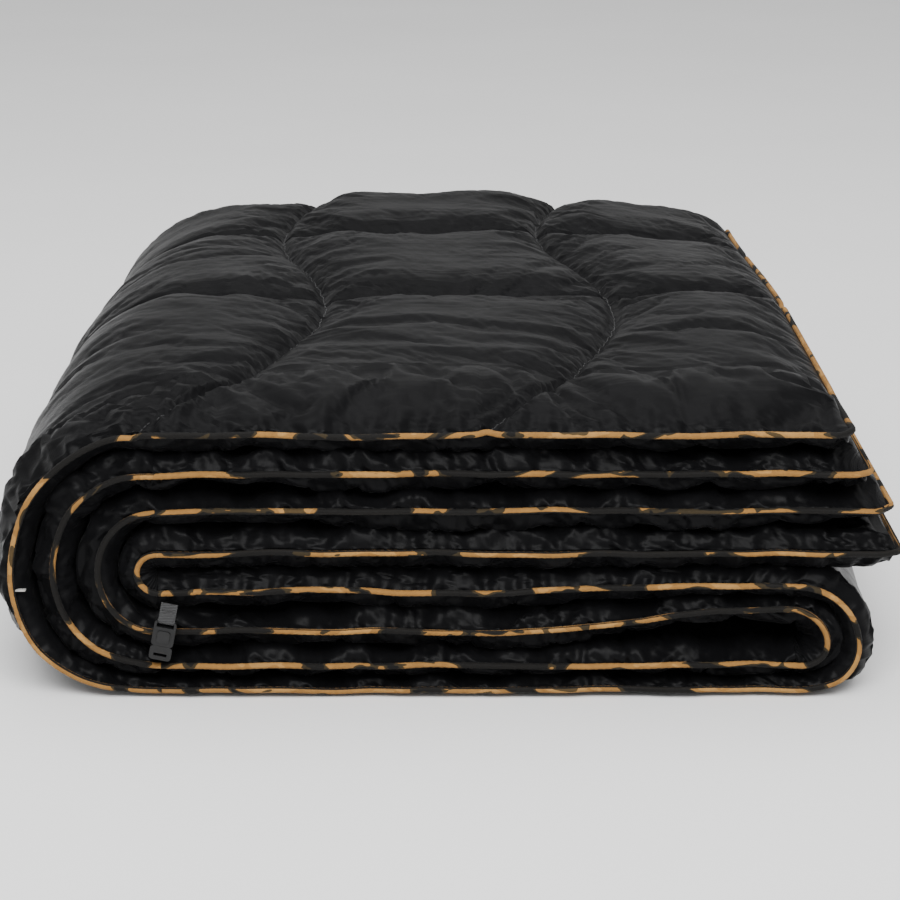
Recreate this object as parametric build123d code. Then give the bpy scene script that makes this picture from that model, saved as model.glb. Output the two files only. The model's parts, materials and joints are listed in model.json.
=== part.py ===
from build123d import *
import math
import os

# Camp quilt, folded. Millimetres, +Z up, front at -Y. The origin is on the ground
# under the middle of the folded stack.
#
# The quilt is folded in half across its width, so each panel is a pair of leaves
# joined by a soft half-round fold at the back. It is then folded in half twice
# along its length. The left folds turn about one line, and the right fold, in the
# lower half only, turns about another.

# Overall sizes
width = 548.0
depth = 682.0  # with the buckle in front
leaf_pitch = 24.5  # height that one leaf takes in the stack
hinge_z = 80.0  # line of the left folds, and the top of the lower half
crown_height = 17.0  # how far the top leaf puffs up above its folded edges
shoulder = 130.0  # depth over which the crown rises at the front and the back
shoulder_fullness = 0.7  # height of the shoulder halfway along, as a share
body_gap = 0.3  # half the space left between pairs

# Cloth and edge
cloth = 1.0  # shell or lining, with the gathers that thicken it
leaf_gap = 0.3  # half the space between the two leaves of a pair
cord_radius = 1.2
tape_radius = 1.9
tape_inner_radius = 1.25
corner_radius = 14.0  # of the piping where an edge turns the quilt's corner
end_offset = 24.0  # how far the top pair's free end is set back from the next one's
right_inset = 2.0  # keeps the right fold inside the stack's width
edge_slip = 0.1  # between the piping and what it lies against

# Quilting
seam_spacing = 212.0  # between the two wavy seams
seam_middle = -4.0  # X halfway between them
seam_amplitude = 24.0
wave_length = 500.0
wave_peak_y = -45.0  # where the waves stand furthest to the right
cross_seam_places = (-20.0, 195.0)
thread_width = 0.8
spline_steps = 10

# Tab, buckle and tag
tab_x = -169.0
tab_lean = 12.0
tab_width = 10.0
tab_length = 11.0
ply = 0.7  # thickness of the webbing
bar_radius = 0.9
buckle_width = 13.4
buckle_corner = 2.2
socket_height = 13.0
plug_height = 9.0
buckle_thickness = 5.0
wall = 0.8
button_size = 7.6
button_corner = 1.8
button_raise = 0.6
tab_stand = 0.4  # between the buckle's back and the piping behind it
tab_drop = 2.5  # from the piping down to the tab's sewn end
stitch_size = (1.1, 0.3, 0.35)
stitch_stand = 0.42  # of a tack stitch off the middle of the ply under it
stitch_rows_apart = 1.8
stitches_each_way = 2  # in a row, from its middle stitch
shoulder_gap = 1.0  # between the webbing round the bar and the socket's body
slot_over = 0.2
plug_slot_height = 1.8
plug_slot_share = 0.6  # of the buckle's width
plug_slot_drop = 0.62  # of the grip's height
blade_corner = 0.6
spring_slip = 0.02
spring_turns = 2
past = 1.0  # how far a cutting block reaches past the face that it cuts
button_travel = 1.0
flange = 0.8  # how far the button's foot reaches under the socket's front wall
tongue = 0.9
wire = 0.25  # of the button's spring
slip = 0.12  # clearance of the moving and the mating faces
tag_width = 6.0
tag_depth = 3.4
tag_thickness = 0.8
tag_drop = 10.0  # below the line of the left folds

# Worked out from the sizes above
left = -width / 2
right = width / 2
front = -depth / 2 + buckle_thickness + button_raise + tab_stand
back = depth / 2
half = leaf_pitch - body_gap  # half the height of one pair
left_x = left + 4 * leaf_pitch - body_gap
right_x = right - 2 * leaf_pitch - right_inset
right_z = hinge_z - 2 * leaf_pitch
leaf_radius = (half - leaf_gap) / 2
leaf_reach = leaf_gap + leaf_radius  # from a pair's middle to the middle of a leaf
piping_offset = tape_radius + edge_slip  # from the cloth to the middle of the piping
piping_y = front + tape_radius
nose_y = piping_y + piping_offset
round_y = back - half  # where the half-round fold at the back begins
low_end_x = right - tape_radius - piping_offset
top_end_x = low_end_x - end_offset
ground_piping_z = tape_radius + edge_slip
squeezed_middle = (hinge_z - 3 * leaf_pitch - leaf_gap) / 2  # of the leaf on the ground

pair_middle = {
    "top": hinge_z + 3 * leaf_pitch,
    "second": hinge_z + leaf_pitch,
    "third": hinge_z - leaf_pitch,
    "bottom": hinge_z - 3 * leaf_pitch,
}


# Sections, drawn with Y to the right and Z up
def section_plane(x):
    return Plane(origin=(x, 0, 0), x_dir=(0, 1, 0), z_dir=(1, 0, 0))


def rectangle_between(u0, u1, v0, v1):
    return Pos((u0 + u1) / 2, (v0 + v1) / 2) * Rectangle(u1 - u0, v1 - v0)


def pair_outline(middle, inset):
    """Two leaves with round noses, joined by a half-round fold at the back."""
    nose = nose_y + leaf_radius
    outline = rectangle_between(nose, round_y, middle - half + inset, middle + half - inset)
    outline += Pos(round_y, middle) * Circle(half - inset)
    for side in (-1, 1):
        outline += Pos(nose, middle + side * leaf_reach) * Circle(leaf_radius - inset)
    gap = leaf_gap + inset
    outline -= rectangle_between(front, round_y, middle - gap, middle + gap)
    outline -= Pos(round_y, middle) * Circle(gap)
    return outline


def between_leaf_middles(middle):
    """Splits a pair's cloth into the shell outside and the lining inside."""
    strip = rectangle_between(front, round_y, middle - leaf_reach, middle + leaf_reach)
    return strip + Pos(round_y, middle) * Circle(leaf_reach)


# Straight pairs and folds
def above(shape, z):
    """The part of a shape that is higher than z."""
    size = 2 * depth
    return shape & (Pos(0, 0, z + size / 2) * Box(size, size, size))


def layers_of(whole, fill, inside):
    """Shell, lining and batting, with the lowest leaf squeezed flat on the ground."""
    fill = above(fill, cloth)
    skin = above(whole, 0) - fill
    inside = above(inside, squeezed_middle)
    return {"shell": skin - inside, "lining": skin & inside, "batting": fill}


def run_along_x(sketch, x0, x1):
    return extrude(section_plane(x0) * sketch, x1 - x0)


def closed_below(u0, u1, low, edges):
    """A face between a curved top and a flat underside a little below low."""
    under = low - leaf_radius / 2
    base = Polyline((u1, low), (u1, under), (u0, under), (u0, low))
    return make_face(Curve() + edges + [base])


def plateau_outline(u0, u1, low, high):
    """A flat top with round shoulders."""
    middle = low + shoulder_fullness * (high - low)
    rise = ThreePointArc((u0, low), (u0 + shoulder / 2, middle), (u0 + shoulder, high))
    top = Line((u0 + shoulder, high), (u1 - shoulder, high))
    fall = ThreePointArc((u1 - shoulder, high), (u1 - shoulder / 2, middle), (u1, low))
    return closed_below(u0, u1, low, [rise, top, fall])


def bow_outline(u0, u1, low, high):
    """One long arc."""
    return closed_below(u0, u1, low, [ThreePointArc((u0, low), ((u0 + u1) / 2, high), (u1, low))])


def crown(x0, x1, inset):
    """The puffed-up top of the stack, domed both ways."""
    low = pair_middle["top"] + half - inset
    high = low + crown_height
    front_to_back = plateau_outline(nose_y + leaf_radius + inset, round_y - inset, low, high)
    side_to_side = bow_outline(x0, x1, low, high + crown_height / 2)
    back_plane = Plane(origin=(0, back, 0), x_dir=(1, 0, 0), z_dir=(0, -1, 0))
    return run_along_x(front_to_back, x0, x1) & extrude(back_plane * side_to_side, depth)


def rounded_plan(x0, x1, inset):
    """A tall block whose front right corner is rounded as the piping turns it."""
    plan = rectangle_between(x0, x1 - inset, nose_y + inset, back)
    corner = plan.vertices().sort_by(Axis.X)[-2:].sort_by(Axis.Y)[0]
    plan = fillet(corner, corner_radius - piping_offset - inset)
    return extrude(plan, 2 * depth)


def straight_pair(name, x0, x1, end_cap=0.0):
    """The layers of one pair. end_cap is the cloth that closes a free end."""
    middle = pair_middle[name]
    whole = run_along_x(pair_outline(middle, 0), x0, x1)
    fill = run_along_x(pair_outline(middle, cloth), x0, x1 - end_cap)
    if name == "top":
        whole += crown(x0, x1, 0)
        fill += crown(x0, x1 - end_cap, cloth)
    if end_cap:
        whole &= rounded_plan(x0, x1, 0)
        fill &= rounded_plan(x0, x1, cloth)
    return layers_of(whole, fill, run_along_x(between_leaf_middles(middle), x0, x1))


def turned_pair(name, x, z, direction):
    """The layers of one pair swept half a turn about the line through (x, z) along Y."""
    line = Axis((x, 0, z), (0, direction, 0))
    sections = [pair_outline(pair_middle[name], 0), pair_outline(pair_middle[name], cloth)]
    sections.append(between_leaf_middles(pair_middle[name]))
    return layers_of(*[revolve(section_plane(x) * sketch, line, 180) for sketch in sections])


# Stitching
def wavy_seam(middle_x):
    points = []
    for step in range(spline_steps + 1):
        y = front - tape_radius + depth * step / spline_steps
        wave = math.cos(2 * math.pi * (y - wave_peak_y) / wave_length)
        points.append((middle_x + seam_amplitude * wave, y))
    return trace(Spline(*points), thread_width)


def seam_faces():
    """Plan view of the quilting: wavy seams front to back, straight seams side to side."""
    faces = Sketch()
    for y in cross_seam_places:
        faces += Pos(0, y) * Rectangle(2 * width, thread_width)
    for side in (-1, 1):
        faces += wavy_seam(seam_middle + side * seam_spacing / 2)
    return faces


def stitch(layers):
    """Part the batting where the rows of stitches pass through it."""
    rows = extrude(Pos(0, 0, -leaf_pitch) * seam_faces(), 12 * leaf_pitch)
    layers["quilting_thread"] = layers["batting"] & rows
    layers["batting"] = layers["batting"] - rows
    return layers


# Piping
def front_plane(x, z):
    """The upright plane of the front edge, with X to the right and Z up."""
    return Plane(origin=(x, piping_y, z), x_dir=(1, 0, 0), z_dir=(0, -1, 0))


def leaf_z(name, side):
    """Height of a leaf's edge."""
    return max(pair_middle[name] + side * leaf_reach, ground_piping_z)


def swept(path, radius, hole=0.0):
    """A round bar along a path, or a tube where there is a hole."""
    section = Circle(radius)
    if hole:
        section -= Circle(hole)
    return sweep(Plane(origin=path @ 0, z_dir=path % 0) * section, path=path)


def piped(path):
    tape = swept(path, tape_radius, tape_inner_radius)
    return {"piping_tape": tape, "piping_cord": swept(path, cord_radius)}


def turned_path(x, z, radius, direction):
    """A half turn of the edge, from the top of a fold to its foot. direction is 1 for the right."""
    drop = min(radius, z - ground_piping_z)
    quarter = 0.5523  # makes a cubic curve follow a quarter of an ellipse
    side = direction * radius
    upper = CenterArc((0, 0), radius, 90, -90 * direction)
    lower = Bezier((side, 0), (side, -quarter * drop), (quarter * side, -drop), (0, -drop))
    return Wire([(front_plane(x, z) * edge).edge() for edge in (upper, lower)])


def free_end_path(name, x0, x1):
    """Along the upper leaf's front edge, down its end, round the back and home again."""
    middle = pair_middle[name]
    r = corner_radius
    end_x = x1 + piping_offset
    corner_y = piping_y + r
    high = Plane(origin=(0, 0, middle + leaf_reach))
    low = Plane(origin=(0, 0, middle - leaf_reach))
    edges = [
        high * Line((x0, piping_y), (end_x - r, piping_y)),
        high * CenterArc((end_x - r, corner_y), r, 270, 90),
        high * Line((end_x, corner_y), (end_x, round_y)),
        section_plane(end_x) * CenterArc((round_y, middle), leaf_reach, 90, -180),
        low * Line((end_x, round_y), (end_x, corner_y)),
        low * CenterArc((end_x - r, corner_y), r, 0, -90),
        low * Line((end_x - r, piping_y), (x0, piping_y)),
    ]
    return Wire([edge.edge() for edge in edges])


def straight_path(name, side, x0, x1):
    z = leaf_z(name, side)
    return Wire([(front_plane(0, 0) * Line((x0, z), (x1, z))).edge()])


# Bodies
def joined(groups):
    """Collect the same layer of several groups into one node of separate solids."""
    nodes = {}
    for group in groups:
        for layer, shape in group.items():
            nodes.setdefault(layer, []).extend(shape.solids())
    return {layer: Compound(children=solids) for layer, solids in nodes.items()}


def upper_half():
    """Four leaves that lift together."""
    groups = [stitch(straight_pair("top", left_x, top_end_x, cloth))]
    groups.append(stitch(straight_pair("second", left_x, low_end_x, cloth)))
    groups.append(piped(free_end_path("top", left_x, top_end_x)))
    groups.append(piped(free_end_path("second", left_x, low_end_x)))
    return joined(groups)


def lower_half():
    """Four leaves on the ground, with the fold that joins them on the right."""
    groups = [stitch(straight_pair(name, left_x, right_x)) for name in ("third", "bottom")]
    groups.append(turned_pair("third", right_x, right_z, 1))
    for side in (-1, 1):
        for name in ("third", "bottom"):
            groups.append(piped(straight_path(name, side, left_x, right_x)))
        radius = leaf_pitch + side * leaf_reach
        groups.append(piped(turned_path(right_x, right_z, radius, 1)))
    return joined(groups)


def left_fold(name, pitches):
    """One pair's nested turn at the left, which joins the two halves."""
    groups = [turned_pair(name, left_x, hinge_z, -1)]
    for side in (-1, 1):
        radius = pitches * leaf_pitch + side * leaf_reach
        groups.append(piped(turned_path(left_x, hinge_z, radius, -1)))
    return joined(groups)


# Tab and buckle: drawn hanging straight down from the sewn end at the origin,
# with X across, -Y to the front, and then leaned and moved into place
bar_z = -tab_length
socket_top = bar_z - bar_radius - ply - shoulder_gap
socket_low = socket_top - socket_height
front_face = -buckle_thickness / 2
back_face = buckle_thickness / 2
button_back = front_face + wall + slip + flange
tab_y = -depth / 2 + button_raise + buckle_thickness / 2
tab_z = leaf_z("third", 1) - tape_radius - tab_drop


def across(sketch, span):
    """Extrude a front-to-back section equally to both sides."""
    return extrude(section_plane(0) * sketch, span / 2, both=True)


def plate(span, z0, z1, y0, y1, corner):
    """An upright plate with round corners between two depths."""
    face = RectangleRounded(span, z1 - z0, corner)
    plane = Plane(origin=(0, y1, (z0 + z1) / 2), x_dir=(1, 0, 0), z_dir=(0, -1, 0))
    return extrude(plane * face, y1 - y0)


def webbing_tab():
    """A loop of webbing, sewn flat above and open round the buckle's bar."""
    loop_radius = bar_radius + slip + ply
    ends = Circle(ply) + Pos(0, bar_z) * Circle(loop_radius)
    outline = make_hull(ends.edges())
    return across(outline - Pos(0, bar_z) * Circle(bar_radius + slip), tab_width)


def tack_stitches():
    """Two rows of thread lying on the front and the back of the tab."""
    stitches = []
    middle_z = 0.36 * bar_z
    for side in (-1, 1):
        y = side * (1.35 * ply + stitch_stand)
        for row in (-1, 1):
            z = middle_z + row * stitch_rows_apart / 2
            for step in range(-stitches_each_way, stitches_each_way + 1):
                stitches.append(Pos(step * tab_width / 6, y, z) * Box(*stitch_size))
    return Compound(children=stitches)


def buckle_socket():
    """A frame with a bar for the webbing, over a hollow body with a window for the button."""
    top = bar_z + bar_radius
    body = plate(buckle_width, socket_low, top, front_face, back_face, buckle_corner)
    slot_height = top - socket_top
    slot = Pos(0, 0, socket_top + slot_height / 2 + slot_over)
    body -= slot * Box(tab_width + 4 * slip, 2 * buckle_thickness, slot_height + 2 * past)
    body += across(Pos(0, bar_z) * Circle(bar_radius), buckle_width - 2)
    cavity_width = button_size + 2 * flange + 2 * slip
    cavity_depth = buckle_thickness - 2 * wall
    cavity_height = socket_top - wall - socket_low
    cavity = Pos(0, 0, button_z() - past)
    body -= cavity * Box(cavity_width, cavity_depth, cavity_height + 2 * past)
    reach = button_size / 2 + slip
    window = plate(2 * reach, button_z() - reach, button_z() + reach, front_face - past, 0, button_corner)
    return body - window


def button_z():
    return (socket_top - wall + socket_low) / 2


def push_button():
    """A square cushion-shaped cap with a wider foot behind the window."""
    reach = button_size / 2
    z = button_z()
    cap_front = front_face - button_raise
    cap = plate(button_size, z - reach, z + reach, cap_front, button_back - flange / 2, button_corner)
    foot_reach = reach + flange - slip
    foot_front = front_face + wall + slip
    foot = plate(2 * foot_reach, z - foot_reach, z + foot_reach, foot_front, button_back, button_corner)
    return cap + foot


def tongue_back():
    return back_face - wall - slip


def button_spring():
    """A short coil between the plug's tongue and the button."""
    low = button_back
    high = tongue_back() - tongue
    length = high - low - 2 * wire - 2 * spring_slip
    helix = Helix(pitch=length / spring_turns, height=length, radius=button_size / 4)
    coil = sweep(Plane(origin=helix @ 0, z_dir=helix % 0) * Circle(wire), path=helix)
    return Pos(0, low + wire + spring_slip, button_z()) * Rot(-90, 0, 0) * coil


def buckle_plug():
    """A flat tongue inside the socket on a round-ended grip below it."""
    tongue_width = button_size + 2 * flange
    tongue_top = socket_top - wall - slip
    low = socket_low - slip
    blade_front = tongue_back() - tongue
    blade = plate(tongue_width, low - past, tongue_top, blade_front, tongue_back(), blade_corner)
    grip = plate(buckle_width, low - plug_height, low, front_face, back_face, buckle_corner)
    slot = Pos(0, 0, low - plug_slot_drop * plug_height)
    slot *= Box(plug_slot_share * buckle_width, 2 * buckle_thickness, plug_slot_height)
    return blade + grip - slot


def hung(shape):
    """Lean the tab a little to the left and put it at its place on the front edge."""
    return Pos(tab_x, tab_y, tab_z) * Rot(0, tab_lean, 0) * shape


def tag():
    """A small blank tag in the groove between the outermost fold's two leaves."""
    place = Pos(left_x - 3 * leaf_pitch, nose_y + 0.5, hinge_z - tag_drop)
    return place * Box(tag_width, tag_depth, tag_thickness)


def write(nodes, prefix=""):
    for name, shape in nodes.items():
        export_step(shape, f"parts/{prefix}{name}.step")


os.makedirs("parts", exist_ok=True)
write(lower_half(), "lower_")
write(upper_half(), "upper_")
write(left_fold("top", 3), "outer_fold_")
write(left_fold("second", 1), "inner_fold_")
small_pieces = {
    "webbing_tab": webbing_tab(),
    "tack_stitches": tack_stitches(),
    "buckle_socket": buckle_socket(),
    "buckle_plug": buckle_plug(),
    "push_button": push_button(),
    "button_spring": button_spring(),
}
write({name: hung(shape) for name, shape in small_pieces.items()})
write({"blank_tag": tag()})
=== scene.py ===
import json
import math

import bpy
import numpy as np
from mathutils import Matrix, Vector


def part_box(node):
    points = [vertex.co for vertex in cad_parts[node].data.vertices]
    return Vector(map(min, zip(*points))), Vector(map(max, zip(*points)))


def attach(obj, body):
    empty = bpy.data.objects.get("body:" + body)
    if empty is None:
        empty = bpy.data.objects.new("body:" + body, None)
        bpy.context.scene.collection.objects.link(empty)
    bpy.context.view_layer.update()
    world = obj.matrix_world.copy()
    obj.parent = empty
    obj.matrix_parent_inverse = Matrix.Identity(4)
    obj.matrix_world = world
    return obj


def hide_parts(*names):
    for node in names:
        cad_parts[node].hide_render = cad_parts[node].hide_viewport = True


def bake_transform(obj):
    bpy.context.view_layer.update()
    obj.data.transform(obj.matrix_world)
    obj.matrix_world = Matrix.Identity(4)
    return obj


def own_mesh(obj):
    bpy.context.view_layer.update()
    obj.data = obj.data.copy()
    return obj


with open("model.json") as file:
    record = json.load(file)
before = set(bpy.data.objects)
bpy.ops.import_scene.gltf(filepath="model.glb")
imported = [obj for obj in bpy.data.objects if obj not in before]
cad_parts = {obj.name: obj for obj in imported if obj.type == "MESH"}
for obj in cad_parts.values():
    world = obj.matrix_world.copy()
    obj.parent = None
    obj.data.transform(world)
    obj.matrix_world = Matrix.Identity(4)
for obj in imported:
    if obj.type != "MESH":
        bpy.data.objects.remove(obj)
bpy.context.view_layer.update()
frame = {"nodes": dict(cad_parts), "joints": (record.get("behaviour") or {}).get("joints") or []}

# A folded camp quilt, in metres. The whole quilt is one long pair of leaves that runs along a
# path in the X-Z plane: top, outer fold, bottom, right fold, third, inner fold, second.
# Every point of it is found from a column (a place along the path) and a row (a place
# round the pair's section, from one piped edge over the back fold to the other).

rng = np.random.default_rng(7)

# Places that the frame gives
HINGE = [joint for joint in frame["joints"] if joint["name"] == "unfold_top"][0]["pos_m"]
LEFT_X, HINGE_Z = HINGE[0], HINGE[2]
PITCH = (HINGE_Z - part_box("inner_fold_shell")[0].z) / 2
RIGHT_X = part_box("lower_shell")[1].x - 2 * PITCH
RIGHT_Z = HINGE_Z - 2 * PITCH
PIPING_RADIUS = 0.0019
PIPING_OUT = 0.9 * PIPING_RADIUS
EDGE_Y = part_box("lower_piping_tape")[0].y + 2 * PIPING_RADIUS
BACK_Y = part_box("lower_shell")[1].y
LOW_END_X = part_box("upper_piping_tape")[1].x - 2 * PIPING_RADIUS
TOP_ENDS_SHORT = 0.024
TOP_END_X = LOW_END_X - TOP_ENDS_SHORT

# The section of one pair of leaves, and how finely its rows are spaced
GAP = 0.0004
HALF = PITCH - GAP
LEAF = (HALF - GAP) / 2
REACH = GAP + LEAF
ROUND_Y = BACK_Y - HALF
NOSE_STEPS = 9
TOP_NOSE_STEPS = 24
FINE_STEPS = 11
FINE_DEPTH = 0.042
BACK_STEPS = 14
COLUMN_STEP = 0.0042
ROW_STEP = 0.0044
COARSE_STEPS = 26
END_SOFTNESS = 0.020
CORNER_RADIUS = 0.009
CORNER_COLUMNS = 60

# Quilting: wavy seams across the quilt, and cross seams along it
SEAM_SPACING = 0.212
FIRST_SEAM = 0.144
WAVE = 0.024
WAVE_LENGTH = 0.50
WAVE_PEAK_Y = -0.045
FRONT_SWEEP = 0.055
SWEEP_DEPTH = 0.10
CROSS_SEAMS = (-0.020, 0.195)
CROSS_WAVE = 0.004
CROSS_BEND = 14.0
SEAMS_PAST_FOLD = 10
GROOVE = 0.0026
GROOVE_SIDE = 0.3
STITCH_PITCH = 0.0032
STITCH_LENGTH = 0.0025
THREAD_RADIUS = 0.00032
STITCH_SIDES = 6

# Piping: its gathers, and its map, which is MAP_AROUND radii wide and starts PRINT_SHIFT
# further on for leaf two, so that the leaves' prints differ
PIPING_STEP = 0.0016
PIPING_SIDES = 12
GATHERS = 0.05
GATHER_PITCH = 0.0045
MAP_AROUND = 6.0
PRINT_SHIFT = 7.0

# Shape of the soft pile
DOME = 0.0005
SLUMP = 0.12
DRAWN_IN = 0.013
OFF_FLOOR = 0.0005

# Stage
LENS = 92.1
LOOKS_DOWN = 17.7
CAMERA_AWAY = 1.30
CAMERA_HEIGHT = 0.574
ROOM_LOW = (0.55, 0.55, 0.55, 1.0)
ROOM_HIGH = (0.90, 0.90, 0.90, 1.0)

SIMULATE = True


def smooth(t):
    """0 to 1 with a gentle start and end, for t from 0 to 1."""
    t = np.clip(t, 0, 1)
    return t * t * (3 - 2 * t)


def waves(x, y, scale, seed, count=6):
    """Soft random hills, from a few crossing sine waves, with a height of about one."""
    draw = np.random.default_rng(seed)
    total = np.zeros(np.broadcast(x, y).shape)
    for _ in range(count):
        turn = draw.uniform(0, 2 * math.pi)
        reach = scale * draw.uniform(0.6, 1.6)
        phase = draw.uniform(0, 2 * math.pi)
        total = total + np.sin((x * math.cos(turn) + y * math.sin(turn)) * 2 * math.pi / reach + phase)
    return total / math.sqrt(count)


# --- The path: one column every few millimetres ---------------------------------------------
def straight(name, start_x, end_x, z, up):
    """Level part of the path. up is 1 where leaf one lies above."""
    count = int(round(abs(end_x - start_x) / COLUMN_STEP))
    x = np.linspace(start_x, end_x, count + 1)[:-1]
    flat = np.zeros(count)
    return {"name": name, "x": x, "z": flat + z, "nx": flat, "nz": flat + up, "turn": flat}


def turn(name, centre_x, centre_z, radius, start, sweep, side):
    """Part of the path round a fold. side is 1 where leaf one lies outside."""
    count = int(round(abs(sweep) * (radius + REACH) / COLUMN_STEP))
    share = np.linspace(0, 1, count + 1)[:-1]
    angle = start + sweep * share
    cos, sin = np.cos(angle), np.sin(angle)
    return {
        "name": name,
        "x": centre_x + radius * cos,
        "z": centre_z + radius * sin,
        "nx": side * cos,
        "nz": side * sin,
        "turn": share,
    }


STRETCHES = [
    straight("top", TOP_END_X, LEFT_X, HINGE_Z + 3 * PITCH, 1),
    turn("outer_fold", LEFT_X, HINGE_Z, 3 * PITCH, math.pi / 2, math.pi, 1),
    straight("bottom", LEFT_X, RIGHT_X, HINGE_Z - 3 * PITCH, -1),
    turn("right_fold", RIGHT_X, RIGHT_Z, PITCH, -math.pi / 2, math.pi, 1),
    straight("third", RIGHT_X, LEFT_X, HINGE_Z - PITCH, 1),
    turn("inner_fold", LEFT_X, HINGE_Z, PITCH, -math.pi / 2, -math.pi, -1),
    straight("second", LEFT_X, LOW_END_X, HINGE_Z + PITCH, -1),
]
starts = np.cumsum([0] + [len(stretch["x"]) for stretch in STRETCHES])
FROM = {stretch["name"]: int(starts[k]) for k, stretch in enumerate(STRETCHES)}
TO = {stretch["name"]: int(starts[k + 1]) for k, stretch in enumerate(STRETCHES)}
COLUMNS = int(starts[-1]) + 1
TO["second"] = COLUMNS - 1


def along(key, last):
    """One value for every column, with the free end's own value last."""
    return np.append(np.concatenate([stretch[key] for stretch in STRETCHES]), last)


path_x = along("x", LOW_END_X)
path_z = along("z", HINGE_Z + PITCH)
normal_x = along("nx", 0.0)
normal_z = along("nz", -1.0)
turned = along("turn", 0.0)
region = np.zeros(COLUMNS, int)
for k, stretch in enumerate(STRETCHES):
    region[starts[k]:] = k
NAMES = [stretch["name"] for stretch in STRETCHES]
distance = np.concatenate([[0], np.cumsum(np.hypot(np.diff(path_x), np.diff(path_z)))])


def is_in(name):
    """Which columns lie in a named stretch."""
    return region == NAMES.index(name)


# --- The section: rows round one pair of leaves -----------------------------------------------
def rows():
    """Each row's leaf (1, -1, or 0 on the back fold), skin (1 outer, -1 inner), and place."""
    made = []

    def nose(leaf, skin, ts):
        made.extend([(leaf, skin, "nose", t) for t in ts])

    def run(leaf, skin, ts):
        made.extend([(leaf, skin, "run", t) for t in ts])

    nose_up = np.linspace(0, 1, NOSE_STEPS + 1)
    fine_share = FINE_DEPTH / (ROUND_Y - EDGE_Y)
    fine = np.linspace(0, fine_share, FINE_STEPS + 1)[1:]
    show_steps = int((ROUND_Y - EDGE_Y - FINE_DEPTH) / ROW_STEP)
    shown = np.concatenate([fine, np.linspace(fine_share, 1, show_steps + 1)[1:]])
    hidden = np.concatenate([fine, np.linspace(fine_share, 1, COARSE_STEPS + 1)[1:]])
    back = np.linspace(0, 1, BACK_STEPS + 1)[1:-1]
    nose(1, 1, np.linspace(0, 1, TOP_NOSE_STEPS + 1))
    run(1, 1, shown)
    made.extend([(0, 1, "back", t) for t in back])
    run(-1, 1, hidden[::-1])
    nose(-1, 1, nose_up[::-1])
    nose(-1, -1, nose_up[1:])
    run(-1, -1, hidden)
    made.extend([(0, -1, "back", 1 - t) for t in back[::3]])
    run(1, -1, hidden[::-1])
    nose(1, -1, nose_up[:0:-1])
    return made


ROWS = rows()
row_leaf = np.array([row[0] for row in ROWS])
row_skin = np.array([row[1] for row in ROWS])
row_kind = np.array([row[2] for row in ROWS])
row_share = np.array([row[3] for row in ROWS])
ROW_COUNT = len(ROWS)
TIP_ONE = 0
TIP_TWO = int(np.flatnonzero((row_leaf == -1) & (row_kind == "nose") & (row_share == 0))[0])


def eased(values, spread=0.05):
    """Values for every column, with each step between stretches made gradual."""
    steps = int(spread / COLUMN_STEP)
    kernel = np.hanning(2 * steps + 1)
    return np.convolve(np.pad(values, steps, mode="edge"), kernel / kernel.sum(), mode="valid")


def nose_length(leaf, skin):
    """How gently each skin of each leaf rises from its piped edge, for every column."""
    long_nose, short_nose = 0.030, 0.012
    table = {
        (1, 1): {"top": 0.095, "outer_fold": 0.050, "third": 0.014, "bottom": 0.012},
        (1, -1): {"second": 0.014, "bottom": 0.014},
        (-1, 1): {"second": 0.042, "bottom": long_nose, "right_fold": 0.02},
        (-1, -1): {"third": long_nose, "top": 0.016},
    }[(leaf, skin)]
    return eased(np.array([table.get(name, short_nose) for name in NAMES])[region])


def section_points():
    """y, the height over the pair's middle, and the depth coordinate for every column and row."""
    y = np.zeros((COLUMNS, ROW_COUNT))
    middle = np.zeros((COLUMNS, ROW_COUNT))
    rise = np.zeros((COLUMNS, ROW_COUNT))
    for j in range(ROW_COUNT):
        leaf, skin, kind, t = ROWS[j]
        if kind == "back":
            angle = math.pi / 2 - math.pi * t
            wide = REACH + skin * LEAF
            y[:, j] = ROUND_Y + wide * math.cos(angle)
            middle[:, j] = REACH * math.sin(angle)
            rise[:, j] = skin * LEAF * math.sin(angle)
            continue
        length = nose_length(leaf, skin)
        middle[:, j] = leaf * REACH
        if kind == "nose":
            y[:, j] = EDGE_Y + length * (1 - math.cos(math.pi / 2 * t))
            rise[:, j] = leaf * skin * LEAF * math.sin(math.pi / 2 * t)
        else:
            y[:, j] = EDGE_Y + length + t * (ROUND_Y - EDGE_Y - length)
            rise[:, j] = leaf * skin * LEAF
    return y, middle, rise


def from_ends():
    """How far each column is from the nearer free end."""
    return np.minimum(distance, distance[-1] - distance)


def end_taper():
    """The leaves close to their piped free ends: 0 at the very end and 1 away from it."""
    inside = np.clip(1 - from_ends() / END_SOFTNESS, 0, 1)
    return np.sqrt(1 - inside**2)


def seam_place(y, number):
    """Where along the quilt a wavy seam runs, at each depth."""
    wave = WAVE * np.cos(2 * math.pi * (y - WAVE_PEAK_Y) / WAVE_LENGTH)
    sweep = FRONT_SWEEP * np.clip((EDGE_Y + SWEEP_DEPTH - y) / SWEEP_DEPTH, 0, 1) ** 1.5
    return FIRST_SEAM + number * SEAM_SPACING - wave + sweep


def cross_place(number):
    """The depth of a cross seam, at each place along the quilt."""
    return CROSS_SEAMS[number] + CROSS_WAVE * np.sin(distance[:, None] * CROSS_BEND + number)


def seam_distance(y):
    """How far each point is from the nearest seam, along the quilt."""
    place = (distance[:, None] - seam_place(y, 0)) / SEAM_SPACING
    nearest = np.abs(place - np.round(place)) * SEAM_SPACING
    for number in range(len(CROSS_SEAMS)):
        nearest = np.minimum(nearest, np.abs(y - cross_place(number)))
    return nearest


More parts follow.
